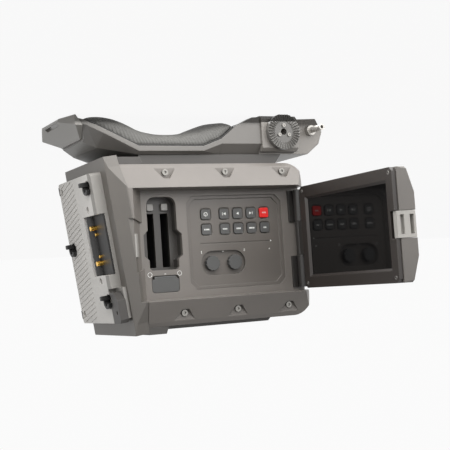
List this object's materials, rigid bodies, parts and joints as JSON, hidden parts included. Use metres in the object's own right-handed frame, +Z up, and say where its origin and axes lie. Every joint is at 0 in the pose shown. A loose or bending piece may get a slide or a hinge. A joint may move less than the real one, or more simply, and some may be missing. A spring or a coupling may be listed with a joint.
{
  "type": "digital cinema camera",
  "caption": "Digital cinema camera body with a fold-out monitor, control panel, card bay, battery plate, lens mount and a padded shoulder base with rod bores and rosettes.",
  "frame": {"origin": "mouth of the tripod thread in the underside of the front block, on the plane that the part stands on", "axes": "+Z up, the lens looks toward -Y, the battery side is +Y, the monitor side is +X"},
  "size_m": [0.2723, 0.2452, 0.1852],
  "materials": {
    "side_metal": "fine satin",
    "rear_metal": "fine satin",
    "dark_metal": "satin",
    "base_metal": "satin",
    "tray_metal": "satin",
    "tail_metal": "satin",
    "rosette_metal": "satin",
    "plate_metal": "bead blasted",
    "mount_steel": "brushed",
    "screw_steel": "turned",
    "socket_metal": "plated",
    "clamp_metal": "turned",
    "sink_metal": "mill",
    "black_plastic": "matte",
    "panel_metal": "satin",
    "bay_metal": "satin",
    "key_plastic": "satin",
    "red_plastic": "satin",
    "bezel_plastic": "satin",
    "shell_metal": "satin",
    "latch_metal": "satin",
    "screen_glass": "gloss",
    "filter_glass": "gloss",
    "board": "solder mask",
    "gold": "plated",
    "pad_rubber": "ribbed"
  },
  "bodies": {
    "camera": {"left_frame": "side_metal", "right_cover": "side_metal", "front_casting": "side_metal", "rear_casting": "rear_metal", "chassis": "dark_metal", "top_plate": "dark_metal", "bottom_plate": "dark_metal", "hinge_leaves": "dark_metal", "front_block": "base_metal", "rod_block": "base_metal", "shoulder_tray": "tray_metal", "tail_cap": "tail_metal", "rosettes": "rosette_metal", "battery_plate": "plate_metal", "lens_mount": "mount_steel", "hinge_pin": "mount_steel", "card_sockets": "mount_steel", "usb_socket": "mount_steel", "cover_screws": "screw_steel", "rosette_screws": "screw_steel", "signal_sockets": "socket_metal", "heatsink": "sink_metal", "sensor_housing": "black_plastic", "fan_housing": "black_plastic", "contact_block": "black_plastic", "slot_clips": "black_plastic", "audio_sockets": "black_plastic", "control_panel": "panel_metal", "card_bay": "bay_metal", "latch_catch": "latch_metal", "sensor_filter": "filter_glass", "sensor_board": "board", "main_board": "board", "control_board": "board", "contact_pins": "gold", "shoulder_pad": "pad_rubber"},
    "key_power_body": {"key_power": "key_plastic"},
    "key_previous_body": {"key_previous": "key_plastic"},
    "key_play_body": {"key_play": "key_plastic"},
    "key_next_body": {"key_next": "key_plastic"},
    "key_record_body": {"key_record": "red_plastic"},
    "key_iris_body": {"key_iris": "key_plastic"},
    "key_focus_body": {"key_focus": "key_plastic"},
    "key_display_body": {"key_display": "key_plastic"},
    "key_slot_body": {"key_slot": "key_plastic"},
    "key_menu_body": {"key_menu": "key_plastic"},
    "dial_left_body": {"dial_left": "key_plastic"},
    "dial_right_body": {"dial_right": "key_plastic"},
    "eject_a_body": {"card_eject_a": "key_plastic"},
    "eject_b_body": {"card_eject_b": "key_plastic"},
    "flap_body": {"usb_cover": "key_plastic"},
    "release_body": {"lens_release": "black_plastic"},
    "fan_body": {"fan": "black_plastic"},
    "yoke_body": {"hinge_block": "dark_metal"},
    "monitor_body": {"monitor_front": "bezel_plastic", "monitor_back": "shell_metal", "monitor_screen": "screen_glass"},
    "latch_body": {"monitor_latch": "latch_metal"},
    "lever_body": {"battery_lever": "dark_metal"},
    "clamp_body": {"clamp_screw": "clamp_metal"}
  },
  "joints": [
    {"name": "power_press", "type": "slide", "parent": "camera", "child": "key_power_body", "axis": [-1, 0, 0], "range_m": [0, 0.0008], "stiffness_N_per_m": 600},
    {"name": "previous_press", "type": "slide", "parent": "camera", "child": "key_previous_body", "axis": [-1, 0, 0], "range_m": [0, 0.0008], "stiffness_N_per_m": 600},
    {"name": "play_press", "type": "slide", "parent": "camera", "child": "key_play_body", "axis": [-1, 0, 0], "range_m": [0, 0.0008], "stiffness_N_per_m": 600},
    {"name": "next_press", "type": "slide", "parent": "camera", "child": "key_next_body", "axis": [-1, 0, 0], "range_m": [0, 0.0008], "stiffness_N_per_m": 600},
    {"name": "record_press", "type": "slide", "parent": "camera", "child": "key_record_body", "axis": [-1, 0, 0], "range_m": [0, 0.0008], "stiffness_N_per_m": 600},
    {"name": "iris_press", "type": "slide", "parent": "camera", "child": "key_iris_body", "axis": [-1, 0, 0], "range_m": [0, 0.0008], "stiffness_N_per_m": 600},
    {"name": "focus_press", "type": "slide", "parent": "camera", "child": "key_focus_body", "axis": [-1, 0, 0], "range_m": [0, 0.0008], "stiffness_N_per_m": 600},
    {"name": "display_press", "type": "slide", "parent": "camera", "child": "key_display_body", "axis": [-1, 0, 0], "range_m": [0, 0.0008], "stiffness_N_per_m": 600},
    {"name": "slot_press", "type": "slide", "parent": "camera", "child": "key_slot_body", "axis": [-1, 0, 0], "range_m": [0, 0.0008], "stiffness_N_per_m": 600},
    {"name": "menu_press", "type": "slide", "parent": "camera", "child": "key_menu_body", "axis": [-1, 0, 0], "range_m": [0, 0.0008], "stiffness_N_per_m": 600},
    {"name": "dial_right_turn", "type": "hinge", "parent": "camera", "child": "dial_right_body", "pos_m": [0.0395, 0.0517, 0.1279], "axis": [1, 0, 0], "range_deg": [0, 300]},
    {"name": "dial_left_turn", "type": "hinge", "parent": "camera", "child": "dial_left_body", "pos_m": [0.0395, 0.0733, 0.1279], "axis": [1, 0, 0], "range_deg": [0, 300]},
    {"name": "eject_a_press", "type": "slide", "parent": "camera", "child": "eject_a_body", "axis": [-1, 0, 0], "range_m": [0, 0.0015], "stiffness_N_per_m": 600},
    {"name": "eject_b_press", "type": "slide", "parent": "camera", "child": "eject_b_body", "axis": [-1, 0, 0], "range_m": [0, 0.0015], "stiffness_N_per_m": 600},
    {"name": "flap_turn", "type": "hinge", "parent": "camera", "child": "flap_body", "pos_m": [0.0428, 0.11905, 0.1374], "axis": [0, 1, 0], "range_deg": [0, 90]},
    {"name": "release_press", "type": "slide", "parent": "camera", "child": "release_body", "axis": [0, 1, 0], "range_m": [0, 0.002], "stiffness_N_per_m": 600},
    {"name": "fan_spin", "type": "hinge", "parent": "camera", "child": "fan_body", "pos_m": [-0.05, 0.05, 0.1103], "axis": [1, 0, 0], "continuous": true},
    {"name": "monitor_fold", "type": "hinge", "parent": "camera", "child": "yoke_body", "pos_m": [0.0513, -0.012, 0.1103], "axis": [0, 0, -1], "range_deg": [-90, 0]},
    {"name": "monitor_swivel", "type": "hinge", "parent": "yoke_body", "child": "monitor_body", "pos_m": [0.0628, -0.0145, 0.1103], "axis": [1, 0, 0], "range_deg": [0, 180]},
    {"name": "latch_slide", "type": "slide", "parent": "monitor_body", "child": "latch_body", "axis": [-1, 0, 0], "range_m": [0, 0.002], "stiffness_N_per_m": 600},
    {"name": "lever_turn", "type": "hinge", "parent": "camera", "child": "lever_body", "pos_m": [0.044, 0.15959, 0.16363], "axis": [0, -0.9914, -0.1305], "range_deg": [0, 10], "stiffness_Nm_per_rad": 0.5},
    {"name": "clamp_turn", "type": "hinge", "parent": "camera", "child": "clamp_body", "pos_m": [0.042, -0.034, 0.012], "axis": [1, 0, 0], "range_deg": [0, 180]}
  ]
}
